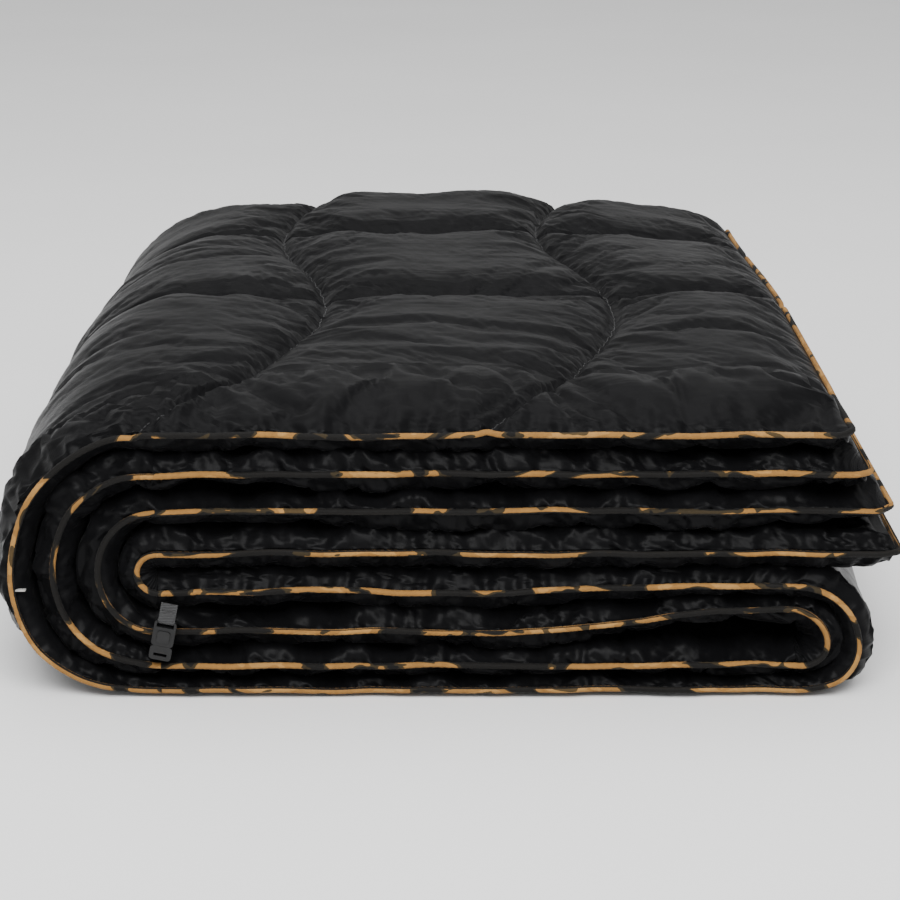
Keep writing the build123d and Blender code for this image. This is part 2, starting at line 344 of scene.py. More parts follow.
def shift_to(points, axis, miss):
    """Slide the grid along one of its own directions, to bring its nearest lines onto a seam.

    miss is how far ahead of each point the seam lies. Returns the points that reach it.
    """
    nearest = np.abs(miss) == np.abs(miss).min(axis=axis, keepdims=True)
    pull = np.where(nearest, miss, 0)
    eased_pull = pull.copy()
    for steps, share in ((1, 0.66), (2, 0.33)):
        for way in (steps, -steps):
            eased_pull += share * np.roll(pull, way, axis=axis)
    ahead = np.gradient(points, axis=axis)
    ahead /= np.maximum(np.linalg.norm(ahead, axis=2, keepdims=True), 1e-9)
    return points + ahead * eased_pull[:, :, None], nearest


def lay_seams(points, last, shown):
    """Bring the shown leaf's grid onto its seams.

    Returns the points, a mark on those that lie on a seam, and each seam as (columns, rows).
    """
    on_seam = np.zeros(points.shape[:2], bool)
    patch = points[:last, :shown]
    lines = []
    for number in range(len(CROSS_SEAMS)):
        miss = cross_place(number)[:last] - patch[:, :, 1]
        patch, reached = shift_to(patch, 1, miss)
        on_seam[:last, :shown] |= reached
        lines.append((np.arange(last), np.abs(miss).argmin(axis=1)))
    for number in range(2):
        miss = seam_place(patch[:, :, 1], number) - distance[:last, None]
        patch, reached = shift_to(patch, 0, miss)
        on_seam[:last, :shown] |= reached
        lines.append((np.abs(miss).argmin(axis=0), np.arange(shown)))
    points = points.copy()
    points[:last, :shown] = patch
    return points, on_seam, lines


def press_seams(points, on_seam):
    """Thread pulls the cloth into a narrow groove."""
    pulled = on_seam.astype(float)
    for axis in (0, 1):
        for way in (1, -1):
            pulled = np.maximum(pulled, GROOVE_SIDE * np.roll(on_seam, way, axis=axis))
    return points - grid_normals(points, True) * GROOVE * pulled[:, :, None]


def settled(z):
    """Heights in the stack once the leaves' own weight has pressed the low ones flat."""
    even = np.array([-0.73, -0.23, 0.27, 0.76, 1.27, 1.77, 2.77, 3.27, 3.77, 4.77, 5.77, 6.77, 7.27])
    real = np.array([0.01, 0.20, 0.47, 0.85, 1.27, 1.77, 2.82, 3.30, 3.84, 4.94, 5.90, 6.90, 7.40])
    return np.interp(z, even * PITCH, real * PITCH, right=None) + np.maximum(z - even[-1] * PITCH, 0)


def shape_quilt():
    """Every point of the quilt before the cloth is simulated."""
    y, middle, rise = section_points()
    taper = end_taper()[:, None]
    x_column = path_x[:, None]
    height = middle + taper * rise

    # The lower half's inner loop stands open at the right.
    ramp = np.where(is_in("third"), smooth((path_x - 0.03) / 0.17), 0)
    ramp = np.where(is_in("right_fold"), turned, ramp)[:, None]
    knots = np.array([-HALF, -REACH, -GAP, GAP, REACH, HALF])
    lifts = np.array([0.0150, 0.0140, 0.0090, 0.0080, 0.0050, 0.0030])
    height = height + ramp * np.interp(height, knots, lifts)

    # The outer fold bulges between its piped edge and the back.
    away = 0.25 + 0.75 * smooth((y - EDGE_Y) / 0.30)
    bulge = 0.013 * np.sin(math.pi * turned) ** 0.8 * (0.6 + 0.7 * turned)
    share = np.where(row_leaf >= 0, 1.0, 0.75)[None, :]
    height = height + np.where(is_in("outer_fold"), bulge, 0)[:, None] * away * share

    x = x_column + normal_x[:, None] * height
    z = path_z[:, None] + normal_z[:, None] * height

    # Free ends slant a little, because the folds took up different lengths.
    slant_top = np.where(is_in("top"), (path_x - LEFT_X) / (TOP_END_X - LEFT_X), 0)[:, None]
    slant_second = np.where(is_in("second"), (path_x - LEFT_X) / (LOW_END_X - LEFT_X), 0)[:, None]
    x = x - slant_top * (0.002 + 0.5 * height) + slant_second * (0.25 * height - 0.003)

    # The top puffs up over its middle, and on over the outer fold.
    side = np.clip((x - 0.01) / np.where(x > 0.01, 0.225, 0.275), -1, 1)
    dome = (1 - np.abs(side) ** 2.3) * smooth((y - EDGE_Y) / 0.16) * smooth((BACK_Y - y) / 0.11)
    share = np.where(is_in("top"), 1, 0)[:, None] + 0 * z
    share = np.where(is_in("outer_fold")[:, None], np.clip((z - HINGE_Z) / (3 * PITCH), 0, 1), share)
    outer_rows = (row_leaf[None, :] >= 0) & (row_skin[None, :] > 0)
    z = settled(z) + np.where(outer_rows, DOME * share * dome, 0)

    # The pile slumps towards its back corners, and its front right loop is drawn in.
    back = smooth((y + 0.05) / (BACK_Y + 0.05))
    beside = smooth((np.abs(x + 0.01) - 0.07) / 0.20)
    z = z * (1 - SLUMP * back * beside)
    front = 1 - 0.7 * smooth((y - EDGE_Y) / 0.25)
    low = 1 - smooth((z - 0.070) / 0.02)
    x = x - DRAWN_IN * front * low * smooth((x - 0.08) / 0.16)
    return x, y, z


def grid_normals(points, closed):
    """Unit normals of a grid of points, the same way out all over."""
    ahead = np.gradient(points, axis=0)
    if closed:
        around = (np.roll(points, -1, axis=1) - np.roll(points, 1, axis=1)) / 2
    else:
        around = np.gradient(points, axis=1)
    normal = np.cross(around, ahead)
    return normal / np.maximum(np.linalg.norm(normal, axis=2, keepdims=True), 1e-9)


def puff(points):
    """Draw the skins in along the seams and let them swell between."""
    depth = points[:, :, 1]
    seam = seam_distance(depth)
    near = 0.6 * np.exp(-seam / 0.008) + 0.4 * np.exp(-seam / 0.034)
    outer = row_skin[None, :] > 0
    shown = eased(np.where(is_in("top") | is_in("outer_fold"), 1.0, 0.0), 0.03)
    first_leaf = outer & (row_leaf[None, :] >= 0)
    strength = np.where(outer, 0.0050, 0.0020) + np.where(first_leaf, 0.0060, 0) * shown[:, None]
    edge = smooth((depth - EDGE_Y) / 0.10) * smooth(from_ends()[:, None] / 0.03)
    s = distance[:, None] + 0 * depth
    hills = waves(s, depth, 0.16, 3) * 0.0012 + waves(s + 0.3 * depth, depth, 0.06, 5) * 0.0006
    rise = 0.35 - 0.22 * shown[:, None] * first_leaf
    away = strength * edge * (rise - near) + hills * edge
    return points + grid_normals(points, True) * away[:, :, None]


def wander(points):
    """Piped edges are never quite straight."""
    front = np.exp(-(points[:, :, 1] - EDGE_Y) / 0.05)
    leaf_seed = np.where(row_leaf >= 0, 1, 2)[None, :] * np.ones((COLUMNS, 1))
    s = distance[:, None] + 0 * front
    up = 0.0006 * waves(s, leaf_seed * 3.1, 0.13, 11) + 0.0003 * waves(s, leaf_seed * 1.7, 0.045, 12)
    out = 0.0016 * waves(s, leaf_seed * 2.3, 0.16, 13) + 0.0005 * waves(s, leaf_seed, 0.04, 14)
    hold = smooth(from_ends() / 0.05)[:, None]
    moved = points.copy()
    moved[:, :, 0] += normal_x[:, None] * up * front * hold
    moved[:, :, 2] += normal_z[:, None] * up * front * hold
    moved[:, :, 1] += np.abs(out) * front * hold
    return moved


def round_corners(points):
    """Round the quilt's free corners in plan, as the piping turns them."""
    radius = CORNER_RADIUS
    moved = points.copy()
    both_ends = (
        (slice(0, CORNER_COLUMNS), 0),
        (slice(COLUMNS - CORNER_COLUMNS, COLUMNS), COLUMNS - 1),
    )
    for columns, end_of in both_ends:
        patch = moved[columns]
        end_x = points[end_of, :, 0][None, :]
        a = radius - (end_x - patch[:, :, 0])
        b = radius - (patch[:, :, 1] - EDGE_Y)
        inside = (a > 0) & (b > 0)
        longest = np.hypot(a, b)
        scale = np.where(inside, np.maximum(a, b) / np.maximum(longest, 1e-9), 1)
        patch[:, :, 0] = np.where(inside, end_x - radius + a * scale, patch[:, :, 0])
        patch[:, :, 1] = np.where(inside, EDGE_Y + radius - b * scale, patch[:, :, 1])
        moved[columns] = patch
    return moved


# --- Cloth simulation ---------------------------------------------------------------------------
def grid_faces(rows_count, columns_count, closed):
    """Quads over a grid whose first index is the column along the path."""
    i = np.arange(rows_count - 1)[:, None]
    j = np.arange(columns_count if closed else columns_count - 1)[None, :]
    after = (j + 1) % columns_count
    corners = (i * columns_count + j, i * columns_count + after, (i + 1) * columns_count + after)
    last = (i + 1) * columns_count + j
    return np.stack([c + 0 * i + 0 * j for c in (*corners, last)], axis=-1).reshape(-1, 4)


def mesh_from(name, points, faces):
    """A smooth mesh of quads."""
    mesh = bpy.data.meshes.new(name)
    mesh.vertices.add(len(points))
    mesh.vertices.foreach_set("co", np.ascontiguousarray(points, np.float32).ravel())
    mesh.loops.add(faces.size)
    mesh.loops.foreach_set("vertex_index", faces.ravel().astype(np.int32))
    mesh.polygons.add(len(faces))
    mesh.polygons.foreach_set("loop_start", np.arange(0, faces.size, 4, dtype=np.int32))
    mesh.polygons.foreach_set("use_smooth", np.ones(len(faces), bool))
    mesh.update(calc_edges=True)
    mesh.validate()
    return mesh


def link(name, mesh):
    """An object for a mesh, in the scene."""
    made = bpy.data.objects.new(name, mesh)
    bpy.context.scene.collection.objects.link(made)
    return made


def blurred(values, passes):
    """A grid of vectors, softened along both of its directions."""
    for _ in range(passes):
        for axis in (0, 1):
            padded = np.pad(values, [(1, 1) if k == axis else (0, 0) for k in range(3)], mode="edge")
            ahead = np.take(padded, range(2, padded.shape[axis]), axis=axis)
            behind = np.take(padded, range(0, padded.shape[axis] - 2), axis=axis)
            values = (ahead + 2 * values + behind) / 4
    return values


def limited(vectors, longest):
    """A grid of vectors, none of them longer than longest."""
    size = np.linalg.norm(vectors, axis=2, keepdims=True)
    return vectors * np.minimum(1, longest / np.maximum(size, 1e-9))


def simulate(points, pinned, slack, depth_slack, pressure, frames, swell, crease):
    """Inflate a grid of cloth that has some slack, held at its pinned points.

    swell and crease are the most that it may move in its broad shape and in its wrinkles.
    """
    shape = points.shape
    faces = grid_faces(shape[0], shape[1], False)
    cloth = link("cloth_work", mesh_from("cloth_work", points.reshape(-1, 3), faces))
    held = cloth.vertex_groups.new(name="held")
    held.add([int(k) for k in np.flatnonzero(pinned.ravel())], 1.0, "REPLACE")
    cloth.shape_key_add(name="start")
    slack_shape = cloth.shape_key_add(name="slack")
    full = points * np.array([1.0, 1.0 + depth_slack, 1.0])
    slack_shape.data.foreach_set("co", full.astype(np.float32).ravel())
    modifier = cloth.modifiers.new("cloth", "CLOTH")
    settings = modifier.settings
    settings.rest_shape_key = slack_shape
    settings.quality = 5
    settings.mass = 0.12
    settings.tension_stiffness = 15
    settings.compression_stiffness = 15
    settings.shear_stiffness = 4
    settings.bending_stiffness = 0.03
    settings.vertex_group_mass = "held"
    settings.use_pressure = True
    settings.uniform_pressure_force = pressure
    settings.shrink_min = -slack
    settings.shrink_max = -slack
    settings.effector_weights.gravity = 0
    modifier.collision_settings.use_collision = False
    modifier.point_cache.frame_start = 1
    modifier.point_cache.frame_end = frames
    for number in range(1, frames + 1):
        bpy.context.scene.frame_set(number)
    graph = bpy.context.evaluated_depsgraph_get()
    settled_mesh = cloth.evaluated_get(graph).data
    after = np.zeros(points.size, np.float32)
    settled_mesh.vertices.foreach_get("co", after)
    bpy.data.objects.remove(cloth)
    bpy.context.scene.frame_set(1)
    moved = after.reshape(shape).astype(float) - points
    broad = blurred(moved, 30)
    return points + limited(broad, swell) + limited(moved - broad, crease)


def wrinkle(points, on_seam, last, shown):
    """Wrinkles along every piped edge, and over the top and the outer fold."""
    edge_rows = NOSE_STEPS + FINE_STEPS
    strips = (
        (np.arange(-edge_rows, TOP_NOSE_STEPS + 1) % ROW_COUNT, 0.05, 0.0010),
        (np.arange(TIP_TWO - edge_rows, TIP_TWO + edge_rows + 1), 0.10, 0.0045),
    )
    for strip, slack, swell in strips:
        patch = points[:, strip]
        pinned = np.zeros(patch.shape[:2], bool)
        pinned[[0, -1]] = True
        pinned[:, [0, edge_rows, -1]] = True
        points[:, strip] = simulate(
            patch, pinned, slack, depth_slack=0.0, pressure=1.2, frames=18, swell=swell, crease=0.0025
        )
    patch = points[:last, :shown]
    pinned = on_seam[:last, :shown].copy()
    pinned[[0, -1]] = True
    pinned[:, [0, -1]] = True
    jitter = rng.normal(0, 0.0001, patch.shape[:2])[:, :, None] * grid_normals(patch, False)
    start = np.where(pinned[:, :, None], patch, patch + jitter)
    points[:last, :shown] = simulate(
        start, pinned, slack=0.022, depth_slack=0.06, pressure=1.0, frames=26, swell=0.003, crease=0.006
    )
    return points


# --- Meshes ---------------------------------------------------------------------------------------
def add_cloth_map(mesh, faces, along_path, around):
    """A map in metres of cloth, so that weave and fine creases keep their size."""
    layer = mesh.uv_layers.new(name="cloth")
    places = np.stack([along_path.ravel()[faces], around.ravel()[faces]], axis=-1)
    layer.data.foreach_set("uv", places.astype(np.float32).ravel())


def around_section(points):
    """Distance round the section, for the cloth map."""
    step = np.linalg.norm(np.diff(points, axis=1), axis=2)
    return np.concatenate([np.zeros((len(points), 1)), np.cumsum(step, axis=1)], axis=1)


def cloth_piece(name, points, normals, first, last, row_list=None):
    """One piece of the quilt, from column first to column last, over all rows or some of them.

    It takes the whole quilt's normals, so that light runs smoothly from piece to piece.
    """
    rows_used = np.arange(ROW_COUNT) if row_list is None else row_list
    grid = points[first:last + 1][:, rows_used]
    faces = grid_faces(grid.shape[0], grid.shape[1], True)
    mesh = mesh_from(name, grid.reshape(-1, 3), faces)
    reach = np.broadcast_to(distance[first:last + 1][:, None], grid.shape[:2])
    add_cloth_map(mesh, faces, reach, around_section(grid))
    mesh.normals_split_custom_set_from_vertices(normals[first:last + 1][:, rows_used].reshape(-1, 3))
    add_share(mesh, "near_seam", np.exp(-seam_distance(points[:, :, 1]) / 0.05)[first:last + 1][:, rows_used])
    add_share(mesh, "near_edge", np.exp(-(grid[:, :, 1] - EDGE_Y).clip(0) / 0.016))
    return link(name, mesh)


def add_share(mesh, name, values):
    """A value at every point, for a material to read."""
    layer = mesh.attributes.new(name, "FLOAT", "POINT")
    layer.data.foreach_set("value", values.astype(np.float32).ravel())


def piping_path(line):
    """A line as even, softened steps."""
    path = resampled(line, PIPING_STEP)
    for _ in range(4):
        inner = (path[:-2] + 2 * path[1:-1] + path[2:]) / 4
        path = np.concatenate([path[:1], inner, path[-1:]])
    return path


def piping_tube(name, path, inward, from_length):
    """Gathered piping along a path. Its map starts at from_length, and at the side that is inward."""
    radius, sides = PIPING_RADIUS, PIPING_SIDES
    ahead = np.gradient(path, axis=0)
    ahead /= np.maximum(np.linalg.norm(ahead, axis=1, keepdims=True), 1e-9)
    side = np.array(inward)
    frames = []
    for direction in ahead:
        side = side - direction * np.dot(side, direction)
        side = side / np.linalg.norm(side)
        frames.append((side.copy(), np.cross(direction, side)))
    one = np.array([f[0] for f in frames])[:, None, :]
    two = np.array([f[1] for f in frames])[:, None, :]
    angle = np.linspace(0, 2 * math.pi, sides, endpoint=False)[None, :, None]
    length = length_along(path) + from_length
    ripple = np.sin(length[:, None, None] * 2 * math.pi / GATHER_PITCH + 2 * np.sin(angle * 2))
    wide = radius * (1 + GATHERS * ripple)
    points = path[:, None, :] + wide * (one * np.cos(angle) + two * np.sin(angle))
    faces = grid_faces(len(path), sides, True)
    mesh = mesh_from(name, points.reshape(-1, 3), faces)
    reach = np.broadcast_to(length[:, None], points.shape[:2])
    around = np.broadcast_to(np.arange(sides)[None, :] * radius * MAP_AROUND / sides, points.shape[:2])
    add_cloth_map(mesh, faces, reach, around)
    return link(name, mesh)


def edge_line(points, tip, first, last):
    """The middle of the piping along one leaf's front edge."""
    line = points[first:last + 1, tip].copy()
    line[:, 1] -= PIPING_OUT
    return line


def end_line(points, column, outward):
    """The middle of the piping round a free end, from leaf one's tip to leaf two's."""
    outer_rows = np.arange(TIP_ONE, TIP_TWO + 1)
    line = points[column, outer_rows].copy()
    line[:, 0] += outward * PIPING_OUT
    return line


def free_end_piping(points, columns, column):
    """Leaf one's edge, the free end and leaf two's edge as one line, rounded at the corners."""
    one = edge_line(points, TIP_ONE, *columns)
    two = edge_line(points, TIP_TWO, *columns)
    end = end_line(points, column, 1)
    if column == columns[0]:
        one, two = one[::-1], two
    else:
        two = two[::-1]
    clear = int(0.004 / COLUMN_STEP) + 2
    path = np.concatenate([one[:-clear], end[NOSE_STEPS // 2:-(NOSE_STEPS // 2)], two[clear:]])
    return piping_path(path)


def length_along(path):
    """How far along a path each of its points lies."""
    return np.concatenate([[0], np.cumsum(np.linalg.norm(np.diff(path, axis=0), axis=1))])


def resampled(path, step):
    """A path with points about one step apart."""
    length = length_along(path)
    places = np.linspace(0, length[-1], int(length[-1] / step) + 1)
    return np.stack([np.interp(places, length, path[:, k]) for k in range(3)], axis=1)


def stitches(name, paths, ups):
    """Short lengths of thread that lie end to end along each path, on the side that ups face."""
    centres, forward, upward = [], [], []
    for path, up in zip(paths, ups):
        length = length_along(path)
        places = np.arange(STITCH_PITCH / 2, length[-1], STITCH_PITCH)
        at, before, after, out = (
            np.stack([np.interp(where, length, grid[:, k]) for k in range(3)], axis=1)
            for where, grid in (
                (places, path),
                (places - STITCH_LENGTH / 2, path),
                (places + STITCH_LENGTH / 2, path),
                (places, up),
            )
        )
        centres.append(at + out * THREAD_RADIUS)
        forward.append(after - before)
        upward.append(out)
    at, along_stitch, out = (np.concatenate(part) for part in (centres, forward, upward))
    side = np.cross(along_stitch, out)
    side /= np.maximum(np.linalg.norm(side, axis=1, keepdims=True), 1e-9)
    angle = np.linspace(0, 2 * math.pi, STITCH_SIDES, endpoint=False)
    ring = side[:, None] * np.cos(angle)[:, None] + out[:, None] * np.sin(angle)[:, None]
    rings = []
    # Each ring's place along the stitch, its width, and how far it sinks into the cloth
    for share, wide, sunk in ((-0.5, 0.4, 0.8), (-0.3, 1.0, 0.0), (0.3, 1.0, 0.0), (0.5, 0.4, 0.8)):
        middle = at + share * along_stitch - out * sunk * THREAD_RADIUS
        rings.append(middle[:, None] + ring * wide * THREAD_RADIUS)
    points = np.stack(rings, axis=1)
    faces = grid_faces(len(rings), STITCH_SIDES, True)
    all_faces = faces[None] + (np.arange(len(at)) * len(rings) * STITCH_SIDES)[:, None, None]
    return link(name, mesh_from(name, points.reshape(-1, 3), all_faces.reshape(-1, 4)))


# --- Materials ------------------------------------------------------------------------------------
class Nodes:
    """Short ways to add nodes to one material."""

    def __init__(self, name):
        self.material = bpy.data.materials.new(name)
        self.material.use_nodes = True
        self.tree = self.material.node_tree
        self.shader = self.tree.nodes["Principled BSDF"]

    def add(self, kind, **settings):
        node = self.tree.nodes.new(kind)
        for key, value in settings.items():
            setattr(node, key, value)
        return node

    def feed(self, node, socket, value):
        """Set a socket to a number or colour, or link an output to it."""
        if isinstance(value, bpy.types.NodeSocket):
            self.tree.links.new(value, node.inputs[socket])
        else:
            node.inputs[socket].default_value = value
        return node

    def cloth_map(self, stretch=(1.0, 1.0)):
        source = self.add("ShaderNodeUVMap", uv_map="cloth")
        mapping = self.add("ShaderNodeMapping")
        self.feed(mapping, "Vector", source.outputs["UV"])
        self.feed(mapping, "Scale", (stretch[0], stretch[1], 1.0))
        return mapping.outputs["Vector"]

    def noise(self, vector, scale, detail=3.0, rough=0.5, distortion=0.0):
        node = self.add("ShaderNodeTexNoise")
        for key, value in (("Vector", vector), ("Scale", scale), ("Detail", detail)):
            self.feed(node, key, value)
        self.feed(node, "Roughness", rough)
        self.feed(node, "Distortion", distortion)
        return node.outputs["Fac"]

    def bands(self, vector, scale, direction, distortion=0.0, detail=1.0):
        node = self.add("ShaderNodeTexWave", bands_direction=direction)
        for key, value in (("Vector", vector), ("Scale", scale), ("Distortion", distortion)):
            self.feed(node, key, value)
        self.feed(node, "Detail", detail)
        return node.outputs["Fac"]

    def math(self, operation, one, two=0.0):
        node = self.add("ShaderNodeMath", operation=operation)
        self.feed(node, 0, one)
        self.feed(node, 1, two)
        return node.outputs[0]

    def ramp(self, value, stops, constant=False):
        node = self.add("ShaderNodeValToRGB")
        node.color_ramp.interpolation = "CONSTANT" if constant else "LINEAR"
        elements = node.color_ramp.elements
        while len(elements) < len(stops):
            elements.new(0.5)
        for element, (place, colour) in zip(elements, stops):
            element.position = place
            element.color = (*colour, 1.0)
        self.feed(node, "Fac", value)
        return node.outputs["Color"]

    def bump(self, height, distance, before=None):
        node = self.add("ShaderNodeBump")
        self.feed(node, "Height", height)
        self.feed(node, "Distance", distance)
        if before is not None:
            self.feed(node, "Normal", before)
        return node.outputs["Normal"]

    def attribute(self, name):
        return self.add("ShaderNodeAttribute", attribute_name=name).outputs["Fac"]

    def finish(self, colour, roughness, normal=None, **constants):
        self.feed(self.shader, "Base Color", colour)
        self.feed(self.shader, "Roughness", roughness)
        if normal is not None:
            self.feed(self.shader, "Normal", normal)
        for socket, value in constants.items():
            self.shader.inputs[socket.replace("_", " ")].default_value = value
        return self.material


def weave(n, threads_per_metre):
    """Over and under threads, as bands both ways."""
    place = n.cloth_map()
    one = n.bands(place, threads_per_metre / 20 * math.pi, "X")
    two = n.bands(place, threads_per_metre / 20 * math.pi, "Y")
    return n.math("MULTIPLY", one, two)


def shell_nylon():
    """Dense satin nylon: near black, softly shiny, creased and gathered at its edges."""
    n = Nodes("shell_nylon")
    place = n.cloth_map()
    tone = n.noise(place, 9.0, 4.0, 0.6)
    colour = n.ramp(tone, [(0.30, (0.0030, 0.0030, 0.0033)), (0.72, (0.0050, 0.0050, 0.0055))])
    wear = n.noise(place, 34.0, 5.0, 0.62)
    rough = n.math("ADD", n.math("MULTIPLY", wear, 0.16), 0.24)
    creases = n.noise(n.cloth_map((1.0, 0.55)), 24.0, 3.0, 0.45)
    streaks = n.noise(n.cloth_map((0.16, 1.0)), 62.0, 2.0, 0.45, 0.3)
    drawn = n.math("MULTIPLY", streaks, n.attribute("near_seam"))
    pleats = n.bands(n.cloth_map(), 26.0, "X", 5.0, 2.0)
    gathered = n.math("MULTIPLY", pleats, n.attribute("near_edge"))
    normal = n.bump(weave(n, 2600.0), 0.00004)
    normal = n.bump(creases, 0.0013, normal)
    normal = n.bump(drawn, 0.0040, normal)
    normal = n.bump(gathered, 0.0014, normal)
    return n.finish(colour, rough, normal, Sheen_Weight=0.01, Sheen_Roughness=0.45, IOR=1.13)


def camouflage_tape():
    """Woven binding printed in tan, olive and near-black patches."""
    n = Nodes("piping_tape")
    place = n.cloth_map((1.0, 2.2))
    patches = n.noise(place, 22.0, 2.6, 0.55, 0.6)
    stops = [
        (0.0, (0.004, 0.0035, 0.003)),
        (0.47, (0.030, 0.021, 0.009)),
        (0.50, (0.260, 0.130, 0.034)),
        (0.58, (0.340, 0.180, 0.052)),
        (0.66, (0.060, 0.038, 0.014)),
    ]
    print_colour = n.ramp(patches, stops, True)
    fade = n.noise(n.cloth_map(), 160.0, 4.0, 0.6)
    around = n.add("ShaderNodeSeparateXYZ")
    n.feed(around, 0, n.cloth_map())
    fringe = n.math("DIVIDE", around.outputs["Y"], PIPING_RADIUS * MAP_AROUND)
    off_side = n.math("ABSOLUTE", n.math("SUBTRACT", fringe, 0.5))
    plain_side = n.math("GREATER_THAN", off_side, 0.37)
    mix = n.add("ShaderNodeMix", data_type="RGBA", blend_type="MULTIPLY")
    n.feed(mix, 0, 0.5)
    n.feed(mix, 6, print_colour)
    n.feed(mix, 7, n.ramp(fade, [(0.25, (0.45, 0.42, 0.40)), (0.7, (1.0, 1.0, 1.0))]))
    normal = n.bump(weave(n, 1500.0), 0.0001)
    normal = n.bump(n.noise(n.cloth_map(), 420.0, 3.0), 0.0005, normal)
    rough = n.math("ADD", n.math("MULTIPLY", fade, 0.2), 0.62)
    side = n.add("ShaderNodeMix", data_type="RGBA")
    n.feed(side, 0, plain_side)
    n.feed(side, 6, mix.outputs[2])
    n.feed(side, 7, (0.006, 0.005, 0.004, 1.0))
    return n.finish(side.outputs[2], rough, normal, Sheen_Weight=0.03, Sheen_Roughness=0.5, IOR=1.25)


def plain_thread(name, colour):
    """Twisted sewing thread."""
    n = Nodes(name)
    twist = n.add("ShaderNodeTexCoord").outputs["Object"]
    tone = n.noise(twist, 900.0, 2.0)
    shade = n.ramp(tone, [(0.2, tuple(0.6 * c for c in colour)), (0.8, tuple(1.4 * c for c in colour))])
    return n.finish(shade, 0.55, n.bump(tone, 0.0002), Sheen_Weight=0.2, Sheen_Roughness=0.4)


def ribbed_webbing():
    """Black webbing with fine ribs across it."""
    n = Nodes("webbing")
    place = n.add("ShaderNodeTexCoord").outputs["Object"]
    ribs = n.bands(place, 320.0, "Z", 0.6)
    tone = n.noise(place, 600.0, 3.0)
    colour = n.ramp(tone, [(0.2, (0.006, 0.006, 0.007)), (0.8, (0.016, 0.016, 0.017))])
    return n.finish(colour, 0.6, n.bump(ribs, 0.0003), Sheen_Weight=0.25, Sheen_Roughness=0.4)


def moulded_plastic(name, low, high, roughness):
    """Satin moulded plastic with a fine spark-eroded grain and rubbed places."""
    n = Nodes(name)
    place = n.add("ShaderNodeTexCoord").outputs["Object"]
    grain = n.noise(place, 3800.0, 2.0)
    rubbed = n.noise(place, 240.0, 4.0, 0.6)
    colour = n.ramp(rubbed, [(0.3, (low,) * 3), (0.75, (high, high, high * 1.05))])
    rough = n.math("ADD", n.math("MULTIPLY", rubbed, 0.18), roughness)
    return n.finish(colour, rough, n.bump(grain, 0.00005), Specular_IOR_Level=0.3)


def spring_wire():
    """Bright drawn steel."""
    n = Nodes("spring_steel")
    tone = n.noise(n.add("ShaderNodeTexCoord").outputs["Object"], 1500.0)
    return n.finish(n.ramp(tone, [(0.2, (0.45,) * 3), (0.8, (0.65,) * 3)]), 0.3, None, Metallic=1.0)


def tag_tape():
    """Pale blank tape."""
    n = Nodes("tag_cloth")
    place = n.add("ShaderNodeTexCoord").outputs["Object"]
    tone = n.noise(place, 700.0, 3.0)
    colour = n.ramp(tone, [(0.2, (0.30, 0.29, 0.27)), (0.8, (0.46, 0.45, 0.42))])
    return n.finish(colour, 0.75, n.bump(tone, 0.0002), Sheen_Weight=0.2, Sheen_Roughness=0.5)


def dress(piece, material):
    """Give a piece its material."""
    piece.data.materials.clear()
    piece.data.materials.append(material)
    return piece


# --- Build ------------------------------------------------------------------------------------------
def build_points():
    """The finished grid of the quilt, and its shown seams."""
    x, y, z = shape_quilt()
    last = TO["outer_fold"] + SEAMS_PAST_FOLD
    shown = int(np.flatnonzero(row_kind == "back")[BACK_STEPS // 2])
    points, on_seam, lines = lay_seams(np.stack([x, y, z], axis=2), last, shown)
    points = wander(puff(points))
    if SIMULATE:
        points = wrinkle(points, on_seam, last, shown)
    points = round_corners(press_seams(points, on_seam))
    points[:, :, 2] = np.maximum(points[:, :, 2], OFF_FLOOR)
    return points, lines


def leaf_rows(leaf, with_back):
    """One leaf's rows, with or without the back fold and the rows that it ends on."""
    chosen = row_leaf == leaf
    if with_back:
        chosen = chosen | (row_kind == "back") | ((row_kind == "run") & (row_share == 1))
    return np.flatnonzero(chosen)


def bend(piece):
    """Bake a piece's placement into its mesh; it is left unparented and does not turn between the two halves.
    """
    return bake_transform(piece)


quilt, seam_lines = build_points()
quilt_normals = grid_normals(quilt, True)
nylon = shell_nylon()
tape = camouflage_tape()

CLOTH_NODES = ("shell", "lining", "batting", "quilting_thread")
covers = {
    "top_cover": (FROM["top"], TO["top"], "upper_half"),
    "second_cover": (FROM["second"], TO["second"], "upper_half"),
    "lower_cover": (FROM["bottom"], TO["third"], "lower_half"),
}
for name, (first, last, body) in covers.items():
    cover = dress(cloth_piece(name, quilt, quilt_normals, first, last), nylon)
    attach(cover, body)
    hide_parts(*[body.split("_")[0] + "_" + layer for layer in CLOTH_NODES])

folds = {
    "outer_fold_leaf_one": ("outer_fold", 1, True, 3 * PITCH),
    "outer_fold_leaf_two": ("outer_fold", -1, False, 2 * PITCH),
    "inner_fold_leaf_one": ("inner_fold", 1, False, 0.3 * PITCH),
    "inner_fold_leaf_two": ("inner_fold", -1, True, PITCH),
}
for name, (fold, leaf, with_back, radius) in folds.items():
    rows_used = leaf_rows(leaf, with_back)
    piece = cloth_piece(name, quilt, quilt_normals, FROM[fold], TO[fold], rows_used)
    cover = dress(piece, nylon)
    bend(cover)
    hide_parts(*[fold + "_" + layer for layer in CLOTH_NODES[:3]])


def seam_parts(first, last):
    """The parts of the shown seams between two columns, and the way out of the cloth there."""
    paths, ups = [], []
    for columns, rows_at in seam_lines:
        kept = (columns >= first) & (columns <= last)
        if kept.sum() > 2:
            paths.append(quilt[columns[kept], rows_at[kept]])
            ups.append(quilt_normals[columns[kept], rows_at[kept]])
    return paths, ups


